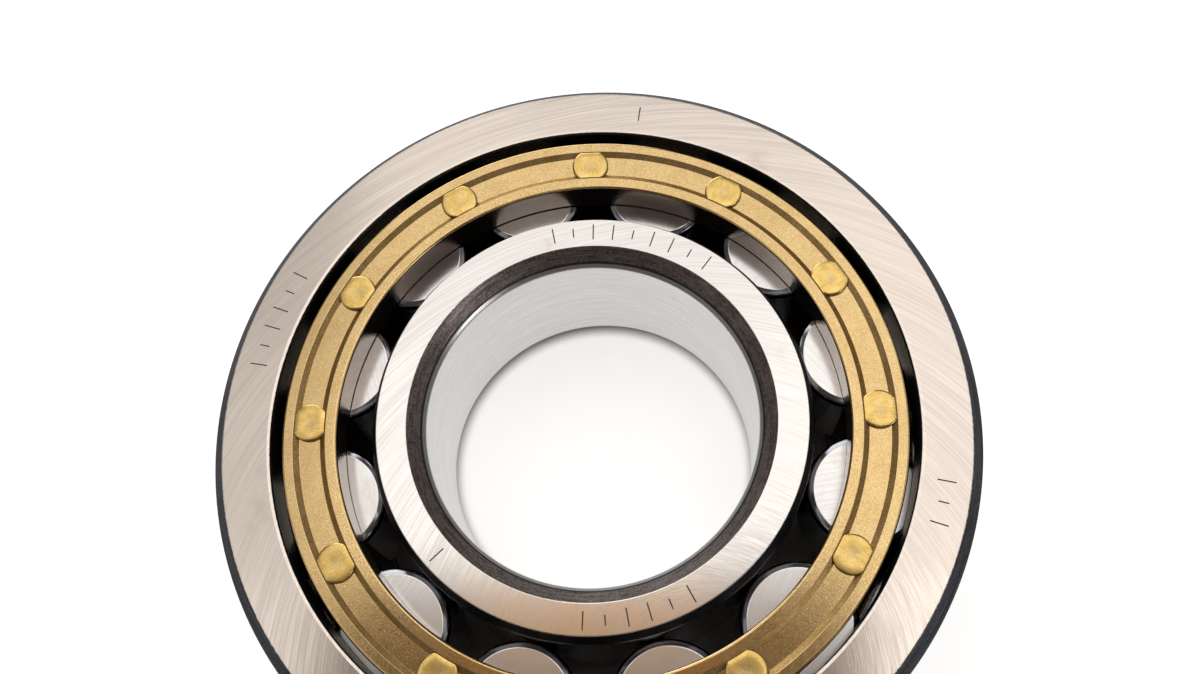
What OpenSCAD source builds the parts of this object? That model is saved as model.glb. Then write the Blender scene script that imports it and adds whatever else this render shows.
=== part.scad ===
// Single-row cylindrical roller bearing with a two-piece riveted brass cage.
// The outer ring has two flanges that hold the rollers, the inner ring is plain and slides out,
// and the cage is a comb of bars closed by a grooved cover ring.
// The bearing's axis is Z and the origin is on it, at mid-width. Roller 1 lies on +X.

/* [Rings] */
// Bore of the inner ring
bore_d = 35; // [34:0.5:36]
// Outside diameter of the outer ring
outside_d = 80; // [79:0.5:84]
// Width of both rings
ring_w = 21; // [21:0.5:24]
// Diameter of the raceway on the inner ring
inner_race_d = 46.2; // [45.6:0.1:46.6]
// Bore of the outer ring's two flanges
flange_bore_d = 67.2; // [66.8:0.1:67.6]
// Radial size of the chamfer on the outer ring's outside edges
outer_chamfer = 1.3; // [0.8:0.1:1.8]
// Radial size of the chamfer in the bore
bore_chamfer = 1.8; // [1:0.1:2]
// Radial size of the lead-in at each end of the inner raceway
lead_in = 0.63; // [0.3:0.01:0.9]

/* [Rollers] */
// Diameter of a roller
roller_d = 12; // [11.8:0.05:12.05]
// Length of a roller
roller_len = 12; // [11:0.5:12.5]
// Size of the chamfer on a roller's ends
roller_chamfer = 0.75; // [0.3:0.05:1]
// Gap left between rollers and raceways, across the whole bearing
internal_clearance = 0.06; // [0.04:0.01:0.12]
// Gap between a roller's end and the flange beside it
flange_gap = 0.04; // [0.02:0.01:0.1]

/* [Cage] */
// Outside diameter of the cage
cage_od = 65.3; // [65:0.1:66]
// Inside diameter of the cage
cage_id = 53.5; // [52.5:0.1:54]
// Width over the cage's two faces
cage_w = 20; // [19.5:0.1:20.5]
// Gap between a roller and the wall of its pocket
pocket_gap = 0.12; // [0.08:0.01:0.2]
// Gap between a roller's end and the end of its pocket
pocket_end_gap = 0.2; // [0.1:0.05:0.4]
// Size of the chamfer on the cage's edges
cage_chamfer = 0.25; // [0.1:0.05:0.4]
// Inside diameter of the cover's groove, at the face
groove_id = 56.02; // [55.8:0.02:56.4]
// Outside diameter of the cover's groove, at the face
groove_od = 62.86; // [62.4:0.02:63]
// Depth of the cover's groove
groove_depth = 0.4; // [0.2:0.05:0.6]
// How far each wall of the groove leans in towards its floor
groove_lean = 0.58; // [0.3:0.02:0.7]

/* [Rivets] */
// Diameter of the circle of rivets
rivet_circle_d = 59.4; // [59:0.1:59.8]
// Diameter of a rivet's shank
rivet_d = 2.2; // [1.8:0.1:2.4]
// Diameter of the head formed in the cover's groove
rivet_head_d = 4.05; // [3.4:0.05:4.2]
// Diameter of the flush head at the rivet's other end
rivet_foot_d = 3.6; // [3:0.1:4]
// Thickness of the flush head
rivet_foot_h = 1; // [0.6:0.1:1.4]

/* [Hidden] */
COUNT = 12;                       // rollers, cage pockets and rivets
$fn = 96;
step = 360 / COUNT;

function name_of(kind, i) = str(kind, i < 10 ? "_0" : "_", i);

half_w = ring_w / 2;
inner_race_r = inner_race_d / 2;
outer_race_r = inner_race_r + roller_d + internal_clearance / 2;
pitch_r = (inner_race_r + outer_race_r) / 2;
flange_r = flange_bore_d / 2;
flange_z = roller_len / 2 + flange_gap;     // inner face of each flange
outer_chamfer_z = outer_chamfer + 0.2;      // chamfers are a little longer than they are deep
bore_chamfer_z = bore_chamfer + 0.2;
lead_in_z = 2 * lead_in;
flange_edge = 0.1;                          // edge break at the mouth of a flange's bore
flange_lip = 0.3;                           // chamfer where a flange meets the rollers' space
undercut_r = 0.4;                           // relief where the outer raceway meets a flange

half_cage = cage_w / 2;
cage_r_out = cage_od / 2;
cage_r_in = cage_id / 2;
pocket_z = roller_len / 2 + pocket_end_gap; // ends of the pockets, and the cover's inner face
rivet_r = rivet_circle_d / 2;
rivet_fit = 0.03;                           // gap round a rivet's shank and heads
groove_floor_z = half_cage - groove_depth;
over = 1;                                   // how far a cutter reaches past what it cuts

steel_ring = [0.80, 0.78, 0.76];
steel_roller = [0.84, 0.85, 0.86];
brass_cage = [0.80, 0.65, 0.40];
brass_rivet = [0.90, 0.78, 0.42];

// Places its child at azimuth 0 on a circle about the bearing's axis, then turns it there.
module around(angle, r) {
    rotate([0, 0, angle]) translate([r, 0, 0]) children();
}

// A ring between two radii and two heights, chamfered on the edges of its two end faces.
module chamfered_ring(r_in, r_out, z_low, z_high, c_low, c_high) {
    rotate_extrude() polygon([
        [r_in + c_low, z_low], [r_out - c_low, z_low], [r_out, z_low + c_low],
        [r_out, z_high - c_high], [r_out - c_high, z_high], [r_in + c_high, z_high],
        [r_in, z_high - c_high], [r_in, z_low + c_low]
    ]);
}

// Half of the outer ring's section, above mid-width.
module outer_ring_half() {
    difference() {
        polygon([
            [outer_race_r, 0], [outside_d / 2, 0],
            [outside_d / 2, half_w - outer_chamfer_z], [outside_d / 2 - outer_chamfer, half_w],
            [flange_r + flange_edge, half_w], [flange_r, half_w - flange_edge],
            [flange_r, flange_z + flange_lip], [flange_r + flange_lip, flange_z],
            [outer_race_r, flange_z]
        ]);
        translate([outer_race_r, flange_z]) circle(r = undercut_r, $fn = 32);
    }
}

module outer_ring() {
    color(steel_ring) rotate_extrude() {
        outer_ring_half();
        mirror([0, 1]) outer_ring_half();
    }
}

module inner_ring() {
    bore_r = bore_d / 2;
    color(steel_ring) rotate_extrude() polygon([
        [bore_r, bore_chamfer_z - half_w], [bore_r + bore_chamfer, -half_w],
        [inner_race_r - lead_in, -half_w], [inner_race_r, lead_in_z - half_w],
        [inner_race_r, half_w - lead_in_z], [inner_race_r - lead_in, half_w],
        [bore_r + bore_chamfer, half_w], [bore_r, half_w - bore_chamfer_z]
    ]);
}

// One roller, with the curved chamfer that blends its side into its flat ends.
module roller() {
    r = roller_d / 2;
    h = roller_len / 2;
    mid = roller_chamfer * 0.36;            // how far the chamfer's middle point stands back
    color(steel_roller) rotate_extrude() polygon([
        [0, -h], [r - roller_chamfer, -h], [r - mid, mid - h], [r, roller_chamfer - h],
        [r, h - roller_chamfer], [r - mid, h - mid], [r - roller_chamfer, h], [0, h]
    ]);
}

// The comb: a solid base ring with a bar standing between each pair of roller pockets.
module cage_body() {
    color(brass_cage) difference() {
        chamfered_ring(cage_r_in, cage_r_out, -half_cage, pocket_z, cage_chamfer, 0);
        for (i = [0:COUNT - 1]) {
            around(i * step, pitch_r) translate([0, 0, -pocket_z])
                cylinder(r = roller_d / 2 + pocket_gap, h = 2 * pocket_z + over);
            around((i + 0.5) * step, rivet_r) {
                translate([0, 0, -half_cage - over])
                    cylinder(d = rivet_d + 2 * rivet_fit, h = cage_w + 2 * over);
                translate([0, 0, -half_cage - over])
                    cylinder(d = rivet_foot_d + 2 * rivet_fit, h = rivet_foot_h + over);
            }
        }
    }
}

// The solid that fills the cover's groove, drawn in from its walls and its floor by a gap.
module groove_fill(gap, top) {
    in_r = groove_id / 2 + gap;
    out_r = groove_od / 2 - gap;
    rotate_extrude() polygon([
        [in_r + groove_lean, groove_floor_z], [out_r - groove_lean, groove_floor_z],
        [out_r, half_cage], [out_r, half_cage + top], [in_r, half_cage + top], [in_r, half_cage]
    ]);
}

// The cover ring, which closes the pockets and takes the rivets' heads in its groove.
module cage_cover() {
    color(brass_cage) difference() {
        chamfered_ring(cage_r_in, cage_r_out, pocket_z, half_cage, 0, cage_chamfer);
        groove_fill(0, over);
        for (i = [0:COUNT - 1])
            around((i + 0.5) * step, rivet_r) translate([0, 0, pocket_z - over])
                cylinder(d = rivet_d + 2 * rivet_fit, h = half_cage);
    }
}

// One rivet on +X: a shank, a flush foot in the comb and a head that fills the groove's width.
module rivet() {
    color(brass_rivet) {
        translate([rivet_r, 0, -half_cage]) {
            cylinder(d = rivet_foot_d, h = rivet_foot_h);
            cylinder(d = rivet_d, h = cage_w - groove_depth / 2);
        }
        intersection() {
            translate([rivet_r, 0, groove_floor_z]) cylinder(d = rivet_head_d, h = groove_depth);
            groove_fill(rivet_fit, 0);
        }
    }
}

outer_ring();
inner_ring();
cage_body();
cage_cover();
for (i = [1:COUNT]) {
    around((i - 1) * step, pitch_r) roller();
    rotate([0, 0, (i - 0.5) * step]) rivet();
}
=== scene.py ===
"""Looks of a cylindrical roller bearing: ground steel rings and rollers, and a riveted brass cage.

Lengths are in millimetres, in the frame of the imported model, and MM turns them into metres. Only the
table's reach, the lights and the camera's near limit are given in metres.
"""

import math

import bmesh
import bpy
from mathutils import Matrix, Vector

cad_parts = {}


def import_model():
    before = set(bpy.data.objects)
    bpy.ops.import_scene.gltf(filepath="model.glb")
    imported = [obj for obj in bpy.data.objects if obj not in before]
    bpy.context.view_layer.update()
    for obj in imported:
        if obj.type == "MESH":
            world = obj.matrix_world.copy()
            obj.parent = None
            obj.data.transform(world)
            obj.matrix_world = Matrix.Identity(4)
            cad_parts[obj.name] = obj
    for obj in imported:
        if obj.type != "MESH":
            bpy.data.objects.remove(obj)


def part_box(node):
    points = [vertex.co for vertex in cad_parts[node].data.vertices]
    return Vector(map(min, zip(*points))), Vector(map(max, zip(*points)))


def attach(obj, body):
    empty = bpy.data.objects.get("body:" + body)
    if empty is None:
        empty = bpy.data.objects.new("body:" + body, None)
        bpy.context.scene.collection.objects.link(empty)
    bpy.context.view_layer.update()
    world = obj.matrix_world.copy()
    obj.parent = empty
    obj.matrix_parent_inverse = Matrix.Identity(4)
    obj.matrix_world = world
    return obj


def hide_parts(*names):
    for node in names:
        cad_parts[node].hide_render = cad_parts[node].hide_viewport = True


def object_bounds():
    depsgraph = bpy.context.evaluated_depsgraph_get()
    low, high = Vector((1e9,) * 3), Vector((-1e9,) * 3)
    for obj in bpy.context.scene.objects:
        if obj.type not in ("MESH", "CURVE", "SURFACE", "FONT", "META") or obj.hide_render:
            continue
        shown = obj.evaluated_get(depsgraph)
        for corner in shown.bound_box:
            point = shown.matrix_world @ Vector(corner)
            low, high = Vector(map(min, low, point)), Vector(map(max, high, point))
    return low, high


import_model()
cad_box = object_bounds()

MM = 0.001
COUNT = 12                      # rollers, bars of the cage and rivets
STEP = 2 * math.pi / COUNT
ROUND = 240                     # facets round a ring, a multiple of COUNT
SHARP = math.radians(40)        # faces that meet at more than this shade with a crease
OVER = 1                        # how far a drill reaches past what it cuts


def span(node):
    """Largest radius and the lowest and highest z of a ring-shaped CAD node."""
    low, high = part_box(node)
    return round(max(high.x, high.y) / MM, 2), round(low.z / MM, 3), round(high.z / MM, 3)


OUTER_R, _, HALF_W = span("outer_ring")
RACE_R = span("inner_ring")[0]                  # raceway on the inner ring
CAGE_R, COVER_Z, CAGE_Z = span("cage_cover")    # outside, inner face and outer face of the cover
ROLLER_LOW, ROLLER_HIGH = (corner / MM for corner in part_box("roller_01"))
ROLLER_R = round((ROLLER_HIGH.y - ROLLER_LOW.y) / 2, 2)
ROLLER_Z = round(ROLLER_HIGH.z, 3)
PITCH_R = round((ROLLER_LOW.x + ROLLER_HIGH.x) / 2, 3)

BORE_R = 17.5
FLANGE_R = 33.6                 # bore of the outer ring's flanges
CAGE_BORE_R = 26.75
POCKET_R = ROLLER_R + 0.12
RIVET_R = 29.7                  # the circle that the rivets stand on
RIVET_HEAD_R = 2.02
RIVET_FOOT_R = 1.8
RIVET_FOOT_H = 1
SHANK_R = 1.1
HOLE_R = 1.13
GROOVE_IN, GROOVE_OUT = 28.01, 31.43
GROOVE_LEAN = 0.58              # how far each wall of the groove leans in over its depth
GROOVE_DEPTH = 0.4


# ---------------------------------------------------------------- meshes

def rounded(corners, steps=4):
    """A closed outline from (r, z, radius, tag) corners, each rounded by its radius.

    The tag names the finish of the stretch that follows the corner, and the arc takes it too.
    A point stands a short lead away from each arc, so that flat faces shade flat.
    """
    lead = 0.05
    points = []
    for i, (r, z, radius, tag) in enumerate(corners):
        here = Vector((r, z))
        before = Vector(corners[i - 1][:2]) - here
        after = Vector(corners[(i + 1) % len(corners)][:2]) - here
        if not radius:
            points.append((r, z, tag))
            continue
        half = before.angle(after) / 2
        cut = radius / math.tan(half)
        start, end = here + before.normalized() * cut, here + after.normalized() * cut
        centre = here + (before.normalized() + after.normalized()).normalized() * (radius / math.sin(half))
        arm, turn = start - centre, (end - centre).angle_signed(start - centre)
        gap = min(lead, (before.length - cut) / 3)
        points.append((*(start + before.normalized() * gap), corners[i - 1][3]))
        for k in range(steps + 1):
            spoke = arm.copy()
            spoke.rotate(Matrix.Rotation(turn * k / steps, 2))
            points.append((*(centre + spoke), tag))
        gap = min(lead, (after.length - cut) / 3)
        points.append((*(end + after.normalized() * gap), tag))
    return points


def whole_circle(around):
    """The angles of so many even steps round a circle."""
    return [2 * math.pi * k / around for k in range(around)]


def joined(bm, low, high, slot=0):
    """Fills the wall between two rings of vertices, which have the same number of them."""
    for k in range(len(low)):
        n = (k + 1) % len(low)
        bm.faces.new((low[k], low[n], high[n], high[k])).material_index = slot


def lathe(name, outline, finishes, around=ROUND):
    """A solid of revolution about Z from a closed (r, z, tag) outline, which may touch the axis."""
    bm = bmesh.new()
    slots = sorted({tag for _, _, tag in outline})
    rings = []
    for r, z, _ in outline:
        if r < 1e-6:
            rings.append([bm.verts.new((0, 0, z * MM))] * around)
            continue
        rings.append([bm.verts.new((r * math.cos(a) * MM, r * math.sin(a) * MM, z * MM))
                      for a in whole_circle(around)])
    for i, (_, _, tag) in enumerate(outline):
        low, high = rings[i], rings[(i + 1) % len(rings)]
        if low[0] is low[1] and high[0] is high[1]:
            continue
        for k in range(around):
            n = (k + 1) % around
            corners = list(dict.fromkeys((low[k], low[n], high[n], high[k])))
            bm.faces.new(corners).material_index = slots.index(tag)
    return finished(name, bm, [finishes[tag] for tag in slots])


def finished(name, bm, materials):
    """Turns a bmesh into a smooth-shaded object with its normals outward."""
    bmesh.ops.recalc_face_normals(bm, faces=bm.faces)
    mesh = bpy.data.meshes.new(name)
    bm.to_mesh(mesh)
    bm.free()
    for material in materials:
        mesh.materials.append(material)
    mesh.shade_smooth()
    mesh.set_sharp_from_angle(angle=SHARP)
    piece = bpy.data.objects.new(name, mesh)
    bpy.context.scene.collection.objects.link(piece)
    return piece


def applied(piece):
    """Replaces a piece's mesh with the result of its modifiers."""
    graph = bpy.context.evaluated_depsgraph_get()
    mesh = bpy.data.meshes.new_from_object(piece.evaluated_get(graph))
    piece.modifiers.clear()
    piece.data = mesh


def drilled(piece, cutters):
    """Cuts one object's volume out of a piece."""
    cut = piece.modifiers.new("cut", "BOOLEAN")
    cut.operation, cut.solver, cut.object = "DIFFERENCE", "EXACT", cutters
    applied(piece)
    bpy.data.objects.remove(cutters)
    piece.data.set_sharp_from_angle(angle=SHARP)
    return piece


def drills(name, stretches):
    """Twelve stepped drills on the rivets' circle, each from (radius, z) points up its side."""
    around = 32
    bm = bmesh.new()
    for i in range(COUNT):
        a = (i + 0.5) * STEP
        x, y = RIVET_R * math.cos(a), RIVET_R * math.sin(a)
        rings = []
        for r, z in stretches:
            rings.append([bm.verts.new(((x + r * math.cos(t)) * MM, (y + r * math.sin(t)) * MM, z * MM))
                          for t in whole_circle(around)])
        for low, high in zip(rings, rings[1:]):
            joined(bm, low, high)
        bm.faces.new(rings[0])
        bm.faces.new(rings[-1])
    return finished(name, bm, [])


# ---------------------------------------------------------------- materials

class Nodes:
    """Short names for building one material's node tree."""

    def __init__(self, name):
        self.material = bpy.data.materials.new(name)
        self.material.use_nodes = True
        self.tree = self.material.node_tree
        self.shader = self.tree.nodes["Principled BSDF"]
        place = self.new("ShaderNodeTexCoord").outputs["Object"]
        self.place = self.vector("SCALE", place, scale=1 / MM)      # in millimetres
        split = self.new("ShaderNodeSeparateXYZ", Vector=self.place)
        self.x, self.y, self.z = split.outputs
        self.radius = self.math("SQRT", self.math("ADD", self.math("MULTIPLY", self.x, self.x),
                                                  self.math("MULTIPLY", self.y, self.y)))
        self.high = self.math("ABSOLUTE", self.z)

    def new(self, kind, **inputs):
        made = self.tree.nodes.new(kind)
        for key, value in inputs.items():
            self.put(made.inputs[key], value)
        return made

    def put(self, socket, value):
        if isinstance(value, bpy.types.NodeSocket):
            self.tree.links.new(value, socket)
        elif socket.type == "RGBA" and len(value) == 3:
            socket.default_value = (*value, 1)
        else:
            socket.default_value = value

    def math(self, operation, a, b=0.0, c=0.0):
        made = self.tree.nodes.new("ShaderNodeMath")
        made.operation = operation
        for socket, value in zip(made.inputs, (a, b, c)):
            self.put(socket, value)
        return made.outputs[0]

    def vector(self, operation, a, b=(0, 0, 0), scale=1.0):
        made = self.tree.nodes.new("ShaderNodeVectorMath")
        made.operation = operation
        self.put(made.inputs[0], a)
        if operation == "SCALE":
            self.put(made.inputs["Scale"], scale)
        else:
            self.put(made.inputs[1], b)
        return made.outputs["Value" if operation == "LENGTH" else "Vector"]

    def combine(self, x, y, z):
        return self.new("ShaderNodeCombineXYZ", X=x, Y=y, Z=z).outputs[0]

    def noise(self, where, scale=1.0, detail=2.0, roughness=0.5):
        made = self.new("ShaderNodeTexNoise", Vector=where, Scale=scale, Detail=detail, Roughness=roughness)
        return made.outputs["Fac"]

    def step(self, value, low, high, to_low=0.0, to_high=1.0):
        """Maps low..high onto to_low..to_high smoothly, and holds it outside."""
        made = self.tree.nodes.new("ShaderNodeMapRange")
        made.interpolation_type = "SMOOTHSTEP"
        for socket, v in zip(made.inputs[:5], (value, low, high, to_low, to_high)):
            self.put(socket, v)
        return made.outputs[0]

    def mix(self, factor, a, b):
        made = self.tree.nodes.new("ShaderNodeMix")
        made.data_type = "RGBA"
        self.put(made.inputs["Factor"], factor)
        self.put(made.inputs[6], a)
        self.put(made.inputs[7], b)
        return made.outputs[2]

    def bump(self, height, distance, strength):
        made = self.new("ShaderNodeBump", Height=height, Distance=distance * MM, Strength=strength)
        return made.outputs[0]

    def arcs(self, centre, across, along, seed=0.0, rise=0.0):
        """Noise drawn out along circles about a centre, like the marks of a wheel or of a lathe.

        Across and rise are its changes for each millimetre outward and upward, along for each radian.
        """
        arm = self.vector("MULTIPLY", self.vector("SUBTRACT", self.place, (*centre, 0)), (1, 1, 0))
        turn = self.vector("SCALE", self.vector("NORMALIZE", arm), scale=along)
        out = self.math("MULTIPLY_ADD", self.vector("LENGTH", arm), across, seed)
        level = self.math("MULTIPLY_ADD", self.z, rise, out)
        return self.noise(self.vector("ADD", turn, self.combine(0.0, 0.0, level)), detail=3.0)

    def blend(self, *parts):
        """A weighted sum of (weight, value) pairs."""
        total = 0.0
        for weight, value in parts:
            total = self.math("MULTIPLY_ADD", value, weight, total)
        return total

    def finish(self, colour, roughness, metallic=1.0, normal=None, **others):
        self.put(self.shader.inputs["Base Color"], colour)
        self.put(self.shader.inputs["Roughness"], roughness)
        self.put(self.shader.inputs["Metallic"], metallic)
        if normal:
            self.put(self.shader.inputs["Normal"], normal)
        for key, value in others.items():
            self.put(self.shader.inputs[key.replace("_", " ")], value)
        return self.material


def ground_face(name, pale, deep):
    """A ring's side faces: ground steel with long arcs left by the wheel, scratches and faint stains."""
    n = Nodes(name)
    wheel = (3, -28)
    fine = n.arcs(wheel, 8.0, 5.0)
    broad = n.arcs(wheel, 2.0, 3.0, seed=4.0)
    scratches = n.step(n.arcs(wheel, 12.0, 3.0, seed=9.0), 0.64, 0.74, 0.0, 0.5)
    stain = n.noise(n.place, 0.16, 4.0, 0.6)
    marks = n.blend((0.65, fine), (0.35, broad))
    colour = n.mix(n.step(marks, 0.36, 0.64), deep, pale)
    colour = n.mix(scratches, colour, (0.95, 0.92, 0.88))
    colour = n.mix(n.step(stain, 0.60, 0.78, 0.0, 0.3), colour, (0.48, 0.38, 0.31))
    return n.finish(colour, n.step(marks, 0.35, 0.65, 0.17, 0.12), normal=n.bump(marks, 0.01, 0.18))


def dark_turned(name, pale, deep, glancing=1.0):
    """Chamfers and flange bores left as turned and hardened, nearly black, with a ragged bright rim.

    Glancing is the share of its mirror light that the scale keeps when it is seen nearly edge on.
    """
    n = Nodes(name)
    lines = n.arcs((0, 0), 9.0, 6.0, rise=4.0)
    patches = n.noise(n.place, 0.5, 4.0, 0.6)
    grit = n.noise(n.place, 3.5, 2.0, 0.7)
    colour = n.mix(n.step(n.blend((0.55, lines), (0.45, grit)), 0.38, 0.62), deep, pale)
    colour = n.mix(n.step(patches, 0.5, 0.75, 0.0, 0.5), colour, (0.06, 0.045, 0.04))
    ragged = n.math("MULTIPLY", n.math("SUBTRACT", n.noise(n.place, 2.2, 3.0), 0.5), 0.2)
    rim = n.step(n.math("ADD", n.high, ragged), HALF_W - 0.07, HALF_W - 0.02)
    colour = n.mix(rim, colour, (0.74, 0.70, 0.66))
    return n.finish(colour, n.step(rim, 0.0, 1.0, 0.42, 0.3), normal=n.bump(lines, 0.02, 0.5),
                    Specular_Tint=(glancing, glancing, glancing, 1))


def ground_round():
    """The bore and the outside: bright, with fine grinding lines that run round the axis."""
    n = Nodes("ground_round")
    lines = n.arcs((0, 0), 0.0, 2.5, rise=14.0)
    cloud = n.noise(n.place, 0.12, 3.0)
    colour = n.mix(n.step(lines, 0.3, 0.7), (0.60, 0.59, 0.575), (0.72, 0.71, 0.695))
    colour = n.mix(n.step(cloud, 0.45, 0.75, 0.0, 0.3), colour, (0.58, 0.56, 0.54))
    return n.finish(colour, n.step(lines, 0.3, 0.7, 0.36, 0.26), normal=n.bump(lines, 0.01, 0.3))


def raceway():
    """Raceways, superfinished: near a mirror, with the faintest lines round the axis."""
    n = Nodes("raceway")
    lines = n.arcs((0, 0), 0.0, 2.0, rise=20.0)
    colour = n.mix(lines, (0.56, 0.56, 0.58), (0.68, 0.68, 0.70))
    return n.finish(colour, n.step(lines, 0.3, 0.7, 0.16, 0.11), normal=n.bump(lines, 0.005, 0.2))


def roller_end():
    """Flat roller ends: ground, slightly warm, with soft straight marks that differ between rollers."""
    n = Nodes("roller_end")
    pick = n.new("ShaderNodeObjectInfo").outputs["Random"]
    turned = n.tree.nodes.new("ShaderNodeVectorRotate")
    turned.rotation_type = "Z_AXIS"
    n.put(turned.inputs["Vector"], n.place)
    n.put(turned.inputs["Angle"], n.math("MULTIPLY", pick, 6.28))
    spot = n.new("ShaderNodeSeparateXYZ", Vector=turned.outputs[0])
    shift = n.math("MULTIPLY", pick, 30.0)
    marks = n.noise(n.combine(n.math("MULTIPLY", spot.outputs[0], 0.25),
                              n.math("MULTIPLY", spot.outputs[1], 3.5), shift), detail=3.0)
    elsewhere = n.vector("ADD", n.place, n.combine(n.math("MULTIPLY", shift, 3.0), 0.0, 0.0))
    stain = n.noise(elsewhere, 0.3, 4.0, 0.6)
    colour = n.mix(n.step(marks, 0.3, 0.7), (0.80, 0.775, 0.755), (0.86, 0.84, 0.82))
    colour = n.mix(n.step(stain, 0.50, 0.75, 0.0, 0.4), colour, (0.64, 0.55, 0.48))
    return n.finish(colour, n.step(marks, 0.3, 0.7, 0.20, 0.17), normal=n.bump(marks, 0.004, 0.12))


def polished(name, pale, deep, rough):
    """A roller's sides, and its rounded rims: polished, with the faintest lines round its axis."""
    n = Nodes(name)
    lines = n.noise(n.combine(0.0, 0.0, n.math("MULTIPLY", n.z, 18.0)))
    return n.finish(n.mix(lines, deep, pale), n.step(lines, 0.3, 0.7, rough + 0.03, rough),
                    normal=n.bump(lines, 0.004, 0.2))


def brass(name, pale, deep, speck, rough):
    """Tumbled brass: matt, with a fine sparkling grain of pits, and cloudy changes of tone."""
    n = Nodes(name)
    grain = n.vector("ADD", n.place, (0, 0, 0.05))      # so that flat faces miss the noise's lattice planes
    pits = n.noise(grain, 6.5, 2.0, 0.7)
    glints = n.noise(grain, 7.5, 1.0, 0.5)
    cloud = n.noise(n.place, 0.35, 4.0, 0.6)
    turning = n.arcs((0, 0), 5.0, 4.0)
    colour = n.mix(n.step(cloud, 0.3, 0.7), deep, pale)
    colour = n.mix(n.step(pits, 0.52, 0.34, 0.0, 0.45), colour, speck)
    colour = n.mix(n.step(glints, 0.58, 0.70, 0.0, 0.5), colour, (0.98, 0.84, 0.55))
    height = n.blend((0.85, pits), (0.15, turning))
    return n.finish(colour, n.step(pits, 0.3, 0.7, rough + 0.05, rough - 0.04),
                    normal=n.bump(height, 0.007, 0.5))


def turned_brass(name, pale, deep, rough):
    """The cage's bore and pockets: turned or drilled brass, smoother than its tumbled faces."""
    n = Nodes(name)
    lines = n.arcs((0, 0), 0.0, 3.0, rise=9.0)
    return n.finish(n.mix(lines, deep, pale), n.step(lines, 0.3, 0.7, rough + 0.06, rough),
                    normal=n.bump(lines, 0.01, 0.25))


def pressed_mark():
    """The sides and floors of marks pressed into a ring: dull, and darkened by oil."""
    n = Nodes("pressed_mark")
    grain = n.noise(n.place, 4.0, 3.0)
    colour = n.mix(grain, (0.14, 0.11, 0.095), (0.36, 0.30, 0.26))
    return n.finish(colour, 0.5, normal=n.bump(grain, 0.01, 0.4))


def rivet_brass():
    """Rivet heads: pressed flat and yellower, faintly brushed, with a dull mark at the middle."""
    n = Nodes("rivet_brass")
    pick = n.new("ShaderNodeObjectInfo").outputs["Random"]
    shifted = n.vector("ADD", n.place, n.combine(0.0, 0.0, n.math("MULTIPLY", pick, 60.0)))
    cloud = n.noise(shifted, 1.1, 4.0, 0.6)
    parts = n.new("ShaderNodeSeparateXYZ", Vector=shifted)
    brushed = n.noise(n.combine(n.math("MULTIPLY", parts.outputs[0], 1.2),
                                n.math("MULTIPLY", parts.outputs[1], 9.0), parts.outputs[2]), detail=3.0)
    tone = n.blend((0.6, cloud), (0.4, brushed))
    colour = n.mix(n.step(tone, 0.34, 0.66), (0.78, 0.52, 0.15), (0.96, 0.69, 0.25))
    dull = n.step(n.math("ADD", n.radius, n.math("MULTIPLY", cloud, 1.2)), 0.7, 1.5, 0.35, 0.0)
    colour = n.mix(dull, colour, (0.66, 0.56, 0.36))
    return n.finish(colour, n.step(tone, 0.3, 0.7, 0.30, 0.24), normal=n.bump(tone, 0.02, 0.4))


STEEL = {
    "outer": ground_face("ground_outer", (0.80, 0.715, 0.64), (0.69, 0.61, 0.545)),
    "inner": ground_face("ground_inner", (0.88, 0.85, 0.81), (0.77, 0.735, 0.695)),
    "chamfer": dark_turned("dark_chamfer", (0.37, 0.32, 0.29), (0.13, 0.105, 0.105)),
    "edge": dark_turned("dark_edge", (0.06, 0.062, 0.07), (0.025, 0.027, 0.033), glancing=0.6),
    "flange": dark_turned("dark_flange", (0.11, 0.12, 0.14), (0.045, 0.05, 0.06)),
    "bright": ground_round(),
    "race": raceway(),
    "mark": pressed_mark(),
    "end": roller_end(),
    # The rims are far darker than the sides: painted shade for the dark that they mirror.
    "rim": polished("roller_rim_painted_shade", (0.36, 0.37, 0.40), (0.28, 0.29, 0.32), 0.14),
    "side": polished("roller_side", (0.74, 0.75, 0.77), (0.62, 0.63, 0.65), 0.14),
}
BRASS = {
    "tumbled": brass("cage_tumbled", (0.785, 0.56, 0.26), (0.70, 0.485, 0.21), (0.43, 0.26, 0.095), 0.135),
    # Darker brass for the groove's walls and the rivets' sides: painted shade, partly grime.
    "recess": brass("cage_shade_and_grime", (0.56, 0.36, 0.14), (0.42, 0.26, 0.09), (0.22, 0.13, 0.04), 0.45),
    # Greyed, darkened brass for the cage's bore: painted reflection of the shaded roller ends that it
    # mirrors.
    "bore": turned_brass("cage_bore_painted_reflection", (0.46, 0.39, 0.34), (0.33, 0.27, 0.23), 0.2),
    # Near-black brass in the pockets and on the bars between rollers: painted shade.
    "pocket": turned_brass("cage_pocket_painted_shade", (0.17, 0.115, 0.055), (0.09, 0.06, 0.03), 0.28),
    "rivet": rivet_brass(),
}


# ---------------------------------------------------------------- pieces

def both_ends(half, first):
    """A ring's whole outline from its upper half, which starts and ends at mid-height with finish first."""
    tags = [first] + [corner[3] for corner in half]
    lower = [(r, -z, radius, tag) for (r, z, radius, _), tag in zip(reversed(half), tags[-2::-1])]
    return rounded([(half[0][0], 0, 0, first)] + half + [(half[-1][0], 0, 0, tags[-1])] + lower)


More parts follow.
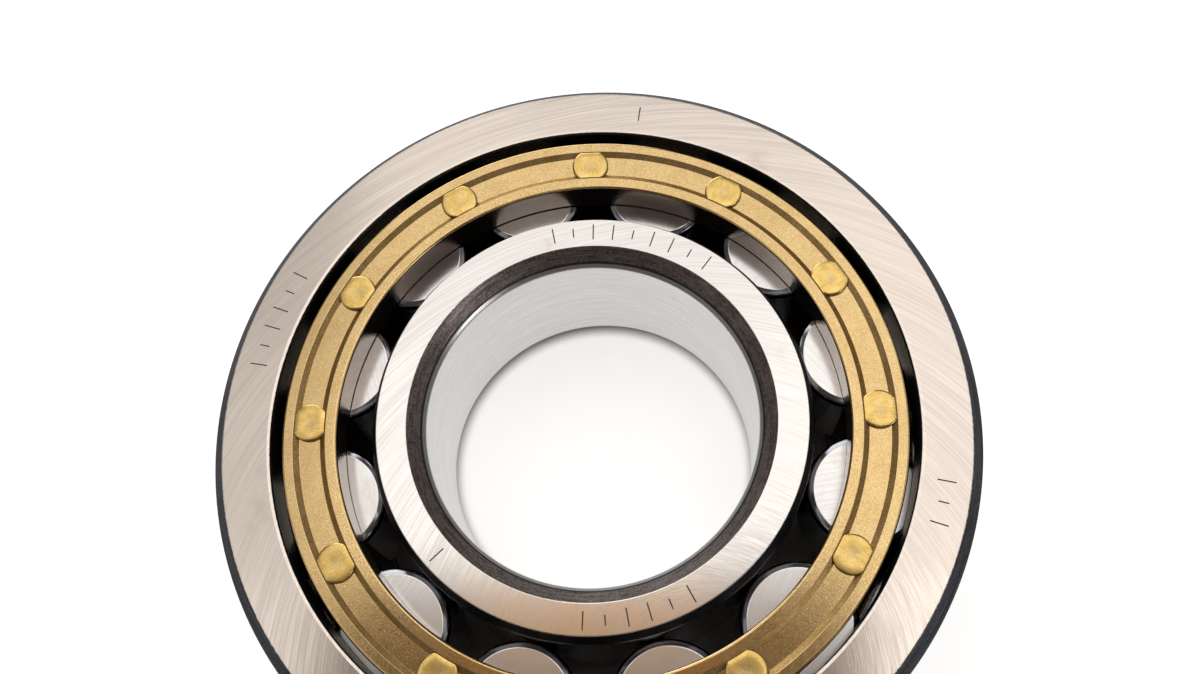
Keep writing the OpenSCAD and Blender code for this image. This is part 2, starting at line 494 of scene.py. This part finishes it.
def marked(piece, radius, groups):
    """Presses plain ticks into a ring's upper face, in groups of (azimuth in degrees, how many)."""
    pitch, long, short, wide, deep = 2.2, 0.95, 0.55, 0.09, 0.06
    proud, taper = 0.02, 0.9                # how far a cutter stands out, and its lower edge's share
    rise = Vector((0, 0, proud))
    bm = bmesh.new()
    for azimuth, count in groups:
        for k in range(count):
            a = math.radians(azimuth) + (k - (count - 1) / 2) * pitch / radius
            out, side = Vector((math.cos(a), math.sin(a), 0)), Vector((-math.sin(a), math.cos(a), 0))
            reach = short if k % 3 == 1 else long           # the middle one of each three is short
            middle = out * radius + Vector((0, 0, HALF_W))
            ends = []
            for r in (-reach, reach):
                corner = middle + out * r
                tip = middle + out * r * taper - Vector((0, 0, deep))
                ends.append([bm.verts.new(v * MM) for v in (corner - side * wide + rise, tip,
                                                            corner + side * wide + rise)])
            near, far = ends
            bm.faces.new(near)
            bm.faces.new(far)
            for i in range(3):
                j = (i + 1) % 3
                bm.faces.new((near[i], near[j], far[j], far[i]))
    cutters = finished("marks", bm, [])
    slot = len(piece.data.materials)
    piece.data.materials.append(STEEL["mark"])
    for polygon in cutters.data.polygons:
        polygon.material_index = slot
    return drilled(piece, cutters)


def outer_ring():
    """Two flanges hold the rollers, with a small undercut where each one meets the raceway."""
    side_play, end_play = 0.015, 0.04       # between a roller and the raceway, and a flange
    undercut, lip, brow, marks_r = 0.4, 0.3, 0.4, 36.3
    chamfer_run, chamfer_rise = 1.3, 1.5
    race = PITCH_R + ROLLER_R + side_play
    flange_z = ROLLER_Z + end_play
    half = [
        (OUTER_R, HALF_W - chamfer_rise, 0.15, "edge"),
        (OUTER_R - chamfer_run, HALF_W, 0.06, "outer"),
        (FLANGE_R + brow, HALF_W, 0.8, "outer"),
        (FLANGE_R + 0.1, HALF_W - 0.03, 0.04, "flange"),
        (FLANGE_R, HALF_W - 0.35, 0.2, "flange"),
        (FLANGE_R, flange_z + lip, 0.1, "race"),
        (FLANGE_R + lip, flange_z, 0.1, "race"),
        (race, flange_z, 0, "flange"),
        (race + undercut, flange_z - undercut / 2, 0.1, "flange"),
        (race, flange_z - undercut, 0.03, "race"),
    ]
    ring = lathe("outer_ring_steel", both_ends(half, "bright"), STEEL)
    return marked(ring, marks_r, ((66, 1), (146, 6), (-31, 3)))


def inner_ring():
    """The bore's grinding runs over the rounded edge and a little way up the dark chamfer.

    A darker line, as far as burnt_run, lies between the two.
    """
    rise, run, ground_run, burnt_run = 2.0, 1.8, 0.37, 0.57
    lead_in, marks_r = 0.63, 21.0
    half = [
        (BORE_R, HALF_W - rise, 0.5, "bright"),
        (BORE_R + ground_run, HALF_W - rise * (1 - ground_run / run), 0, "flange"),
        (BORE_R + burnt_run, HALF_W - rise * (1 - burnt_run / run), 0, "chamfer"),
        (BORE_R + run, HALF_W, 0.06, "inner"),
        (RACE_R - lead_in, HALF_W, 0.08, "flange"),
        (RACE_R, HALF_W - 2 * lead_in, 0.3, "race"),
    ]
    ring = lathe("inner_ring_steel", both_ends(half, "bright"), STEEL)
    return marked(ring, marks_r, ((62, 9), (-92, 6), (-152, 1)))


def cage_cover():
    outline = rounded([
        # The bore and the underside take the greyed bore brass, which is a painted reflection.
        (CAGE_BORE_R, COVER_Z, 0.03, "bore"),
        (CAGE_BORE_R, CAGE_Z, 0.28, "tumbled"),
        # The groove's walls take the darker brass: painted shade, partly grime.
        (GROOVE_IN, CAGE_Z, 0.08, "recess"),
        (GROOVE_IN + GROOVE_LEAN, CAGE_Z - GROOVE_DEPTH, 0.06, "tumbled"),
        (GROOVE_OUT - GROOVE_LEAN, CAGE_Z - GROOVE_DEPTH, 0.06, "recess"),
        (GROOVE_OUT, CAGE_Z, 0.08, "tumbled"),
        (CAGE_R, CAGE_Z, 0.28, "tumbled"),
        (CAGE_R, COVER_Z, 0.03, "bore"),
    ])
    ring = lathe("cage_cover_brass", outline, BRASS)
    return drilled(ring, drills("cover_drills", [(HOLE_R, COVER_Z - OVER), (HOLE_R, CAGE_Z + OVER)]))


def pocket_edge(r):
    """Half the angle that a roller's pocket takes at a radius from the bearing's axis."""
    return math.acos((r * r + PITCH_R * PITCH_R - POCKET_R * POCKET_R) / (2 * r * PITCH_R))


def cage_comb():
    """The comb as one closed grid: each sector has a pocket's floor, and a bar that stands on the ring."""
    across, pocket, bar = 12, 12, 8         # grid steps from the bore out, and round each part
    soft_edge = 0.15
    # Slot 1 takes the near-black pocket brass, which is painted shade.
    tumbled, shaded_pocket_side, bored = 0, 1, 2
    bm = bmesh.new()
    made = {}

    def vert(r, a, z):
        """One shared vertex for each place, also across the seam at a whole turn."""
        key = (round(r, 4), round((a % (2 * math.pi)) * 1e5) % round(2 * math.pi * 1e5), z)
        if key not in made:
            made[key] = bm.verts.new((r * math.cos(a) * MM, r * math.sin(a) * MM, z * MM))
        return made[key]

    radii = [CAGE_BORE_R + (CAGE_R - CAGE_BORE_R) * j / across for j in range(across + 1)]

    def angles(r, sector):
        """The angles across a sector's pocket, and across the bar that follows it."""
        edge = pocket_edge(r)
        mid = sector * STEP
        floor = [mid - edge + 2 * edge * k / pocket for k in range(pocket + 1)]
        stand = [mid + edge + (STEP - 2 * edge) * k / bar for k in range(bar + 1)]
        return floor, stand

    def patch(grid, slot):
        """Fills a grid of vertices with faces, row by row."""
        for row, following in zip(grid, grid[1:]):
            for k in range(len(row) - 1):
                bm.faces.new((row[k], row[k + 1], following[k + 1], following[k])).material_index = slot

    floor_z, top_z, base_z = -COVER_Z, COVER_Z, -CAGE_Z
    for sector in range(COUNT):
        lines = [angles(r, sector) for r in radii]
        patch([[vert(r, a, floor_z) for a in line[0]] for r, line in zip(radii, lines)], shaded_pocket_side)
        patch([[vert(r, a, top_z) for a in line[1]] for r, line in zip(radii, lines)], shaded_pocket_side)
        for part in (0, 1):
            patch([[vert(r, a, base_z) for a in line[part]] for r, line in zip(radii, lines)], tumbled)
            for j, slot in ((0, bored), (across, tumbled)):
                patch([[vert(radii[j], a, z) for a in lines[j][part]] for z in (base_z, floor_z)], slot)
        for j, slot in ((0, shaded_pocket_side), (across, tumbled)):
            patch([[vert(radii[j], a, z) for a in lines[j][1]] for z in (floor_z, top_z)], slot)
        for side in (0, -1):
            patch([[vert(r, line[1][side], z) for r, line in zip(radii, lines)] for z in (floor_z, top_z)],
                  shaded_pocket_side)
    comb = finished("cage_comb_brass", bm, [BRASS[tag] for tag in ("tumbled", "pocket", "bore")])
    soften = comb.modifiers.new("soften", "BEVEL")
    soften.width, soften.segments = soft_edge * MM, 3
    soften.limit_method, soften.angle_limit = "ANGLE", math.radians(50)
    soften.harden_normals = True
    applied(comb)
    foot = RIVET_FOOT_R + HOLE_R - SHANK_R
    shelf = base_z + RIVET_FOOT_H
    steps = [(foot, base_z - OVER), (foot, shelf), (HOLE_R, shelf), (HOLE_R, top_z + OVER)]
    return drilled(comb, drills("comb_drills", steps))


def roller(i):
    """A roller in its own place on the pitch circle, with ends that round off in two steps."""
    rim, shoulder = 0.75, 0.2
    a = (i - 1) * STEP
    # The rounded rims take the darker rim steel, which is painted shade.
    outline = rounded([
        (0, -ROLLER_Z, 0, "end"),
        (ROLLER_R - rim, -ROLLER_Z, 0.25, "rim"),
        (ROLLER_R - shoulder, -ROLLER_Z + shoulder, 0.4, "rim"),
        (ROLLER_R, -ROLLER_Z + rim, 0.4, "side"),
        (ROLLER_R, ROLLER_Z - rim, 0.4, "rim"),
        (ROLLER_R - shoulder, ROLLER_Z - shoulder, 0.4, "rim"),
        (ROLLER_R - rim, ROLLER_Z, 0.25, "end"),
        (0, ROLLER_Z, 0, "side"),
    ], steps=3)
    piece = lathe(f"roller_{i:02d}_steel", outline, STEEL, around=96)
    piece.location = (PITCH_R * math.cos(a) * MM, PITCH_R * math.sin(a) * MM, 0)
    return piece


def head_reach(turn, lean):
    """How far a rivet's head reaches from its axis, towards turn, before a wall of the groove stops it."""
    gap = 0.05
    c, s = math.cos(turn), math.sin(turn)
    reach = RIVET_HEAD_R
    for limit in (GROOVE_IN + gap + lean, GROOVE_OUT - gap - lean):
        inside = limit * limit - (RIVET_R * s) ** 2
        if inside <= 0:
            continue
        for root in (-RIVET_R * c + math.sqrt(inside), -RIVET_R * c - math.sqrt(inside)):
            if 0 < root < reach:
                reach = root
    return reach


def rivet(i):
    """One closed shape: a flush foot, the shank, and a head that fills the groove's width."""
    around = 72
    floor_z, lip, dimple = CAGE_Z - GROOVE_DEPTH, 0.07, 0.03
    foot_low, foot_eased, foot_high = -CAGE_Z + 0.02, -CAGE_Z + 0.1, -CAGE_Z + RIVET_FOOT_H
    bm = bmesh.new()
    round_rings = [(RIVET_FOOT_R - 0.08, foot_low), (RIVET_FOOT_R, foot_eased), (RIVET_FOOT_R, foot_high),
                   (SHANK_R, foot_high), (SHANK_R, floor_z)]
    rings = [[(r * math.cos(t), r * math.sin(t), z) for t in whole_circle(around)] for r, z in round_rings]
    # The head, as its share of the groove's reach, the lean of the groove's walls there, and the height.
    shapes = [(1.0, GROOVE_LEAN, floor_z), (1.0, GROOVE_LEAN * 0.35, CAGE_Z - lip - 0.06),
              (0.985, GROOVE_LEAN * 0.1, CAGE_Z - lip), (0.95, 0.0, CAGE_Z - 0.02), (0.9, 0.0, CAGE_Z)]
    shapes += [(0.6, 0.0, CAGE_Z), (0.3, 0.0, CAGE_Z - dimple / 2), (0.12, 0.0, CAGE_Z - dimple)]
    for share, lean, z in shapes:
        ring = []
        for t in whole_circle(around):
            reach = head_reach(t, lean) * share
            ring.append((reach * math.cos(t), reach * math.sin(t), z))
        rings.append(ring)
    made = [[bm.verts.new([c * MM for c in p]) for p in ring] for ring in rings]
    for i_low, (low, high) in enumerate(zip(made, made[1:])):
        # The head's sides take the darker brass, which paints shade there.
        wall = len(round_rings) <= i_low < len(round_rings) + 2     # the head's sides are dull
        joined(bm, low, high, int(wall))
    for ring, z in ((made[0], foot_low), (made[-1], CAGE_Z - dimple)):
        hub = bm.verts.new((0, 0, z * MM))
        for k in range(around):
            bm.faces.new((ring[k], ring[(k + 1) % around], hub))
    piece = finished(f"rivet_{i:02d}_brass", bm, [BRASS["rivet"], BRASS["recess"]])
    a = (i - 0.5) * STEP
    piece.location = (RIVET_R * math.cos(a) * MM, RIVET_R * math.sin(a) * MM, 0)
    piece.rotation_euler.z = a
    return piece


def place(piece, node, body, slot):
    """Shows a piece instead of a CAD node, riding on that node's body. Its slot is not used."""
    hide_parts(node)
    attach(piece, body)


place(outer_ring(), "outer_ring", "outer_ring", "ring_steel")
place(inner_ring(), "inner_ring", "inner_ring", "ring_steel")
place(cage_comb(), "cage_body", "cage", "cage_brass")
place(cage_cover(), "cage_cover", "cage", "cage_brass")
for i in range(1, COUNT + 1):
    place(roller(i), f"roller_{i:02d}", f"roller_{i:02d}", "roller_steel")
    place(rivet(i), f"rivet_{i:02d}", "cage", "rivet_brass")


# ---------------------------------------------------------------- floor, lights and camera

def floor():
    """A pale table that glows faintly as painted light, except where the bearing's own rings close it in.
    """
    glowing, reach, sink = 0.7, 6.0, 0.02   # sink keeps it clear of the rings' lower faces
    n = Nodes("pale_floor")
    mottle = n.noise(n.place, 0.05, 4.0)
    middle, closed = (OUTER_R + BORE_R) / 2, (OUTER_R - BORE_R) / 2
    beyond = n.math("SUBTRACT", n.math("ABSOLUTE", n.math("SUBTRACT", n.radius, middle)), closed)
    # Painted light: the floor glows, but not in the annulus under the rings, so the gaps between rollers
    # stay dark.
    glow = n.step(beyond, -1.0, 1.0, 0.0, glowing)
    n.finish(n.mix(mottle, (0.86, 0.86, 0.86), (0.9, 0.9, 0.9)), 0.6, metallic=0.0,
             Emission_Color=(1, 1, 1, 1), Emission_Strength=glow)
    bm = bmesh.new()
    bmesh.ops.create_grid(bm, x_segments=8, y_segments=8, size=reach)
    piece = finished("floor", bm, [n.material])
    piece.location.z = cad_box[0].z - sink * MM


def area_light(name, shape, radiance, width, height, tint):
    """A soft light of an even radiance, not yet aimed."""
    light = bpy.data.lights.new(name, "AREA")
    light.shape, light.size, light.size_y, light.color = shape, width, height, tint
    area = width * height * (math.pi / 4 if shape == "DISK" else 1)
    light.energy = radiance * math.pi * area
    thing = bpy.data.objects.new(name, light)
    bpy.context.scene.collection.objects.link(thing)
    return thing


def lamp(name, azimuth, elevation, size, radiance):
    """A round soft light that faces the bearing. Azimuth is counted from +X, in degrees."""
    away, white = 0.9, (1, 1, 1)
    thing = area_light(name, "DISK", radiance, size, size, white)
    a, e = math.radians(azimuth), math.radians(elevation)
    out = Vector((math.cos(a) * math.cos(e), math.sin(a) * math.cos(e), math.sin(e)))
    thing.location = out * away
    thing.rotation_euler = (-out).to_track_quat("-Z", "Y").to_euler()


def panel(name, radiance, size, middle, tint):
    """A level panel of the softbox, (wide, deep) in size, turned with the whole softbox."""
    turn = math.radians(-15)
    thing = area_light(name, "RECTANGLE", radiance, *size, tint)
    middle = Vector(middle)
    middle.rotate(Matrix.Rotation(turn, 3, "Z"))
    thing.location = middle
    thing.rotation_euler.z = turn


def softbox():
    """Soft panels overhead and behind, in a horseshoe that is open towards the front and turned a little.

    A dim brown panel in its opening stands for the dark room that the lower part of the bearing mirrors,
    and a small amber card just below it warms the near face of the inner ring.
    """
    height = 0.7
    card_size, card_middle, card_drop = (0.17, 0.055), (-0.055, 0.0725), 0.01
    across, away = (-0.40, -0.236, 0.133, 0.32), (-0.02, 0.102, 0.28, 0.53)
    white, brown, amber = (1.0, 0.985, 0.97), (1.0, 0.42, 0.1), (1.0, 0.5, 0.12)
    radiance = ((0.95, 0.70, 0.55), (0.04, 1.2, 0.98), (1.45, 1.1, 1.1))    # each column from near to far
    for i, column in enumerate(radiance):
        for j, level in enumerate(column):
            size = (across[i + 1] - across[i], away[j + 1] - away[j])
            middle = ((across[i] + across[i + 1]) / 2, (away[j] + away[j + 1]) / 2, height)
            panel(f"softbox_{i}{j}", level, size, middle, brown if (i, j) == (1, 0) else white)
    panel("softbox_card", 0.42, card_size, (*card_middle, height - card_drop), amber)


def lights():
    """The softbox, and round lamps lower down that catch rims and walls."""
    softbox()
    lamp("right", 0, 40, 0.8, 0.4)
    lamp("left", 180, 40, 0.8, 0.4)
    lamp("back", 90, 25, 0.6, 2.4)
    lamp("front", 270, 62, 0.4, 0.5)
    lamp("low", 312, 18, 0.3, 3.0)


def camera():
    """The view from above the near edge: where it stands, what it aims at, and how far it leans."""
    stand, aim = Vector((-0.87, -37.39, 123.61)) * MM, Vector((3.62, 12.16, 0)) * MM
    lean = math.radians(-10.79)
    lens = bpy.data.cameras.new("camera")
    lens.lens, lens.sensor_width, lens.clip_start = 34.47, 36, 0.005
    thing = bpy.data.objects.new("camera", lens)
    look = (aim - stand).to_track_quat("-Z", "Y").to_matrix().to_4x4()
    thing.matrix_world = Matrix.Translation(stand) @ look @ Matrix.Rotation(lean, 4, "Z")
    bpy.context.scene.collection.objects.link(thing)
    bpy.context.scene.camera = thing


def world():
    """A dim, warm surround for whatever the lights leave dark."""
    warm, dim = (1, 0.86, 0.76, 1), 0.1
    sky = bpy.data.worlds.new("studio")
    sky.use_nodes = True
    background = sky.node_tree.nodes["Background"]
    background.inputs["Color"].default_value = warm
    background.inputs["Strength"].default_value = dim
    bpy.context.scene.world = sky


floor()
world()
lights()
camera()
bpy.context.scene.view_settings.view_transform = "Standard"
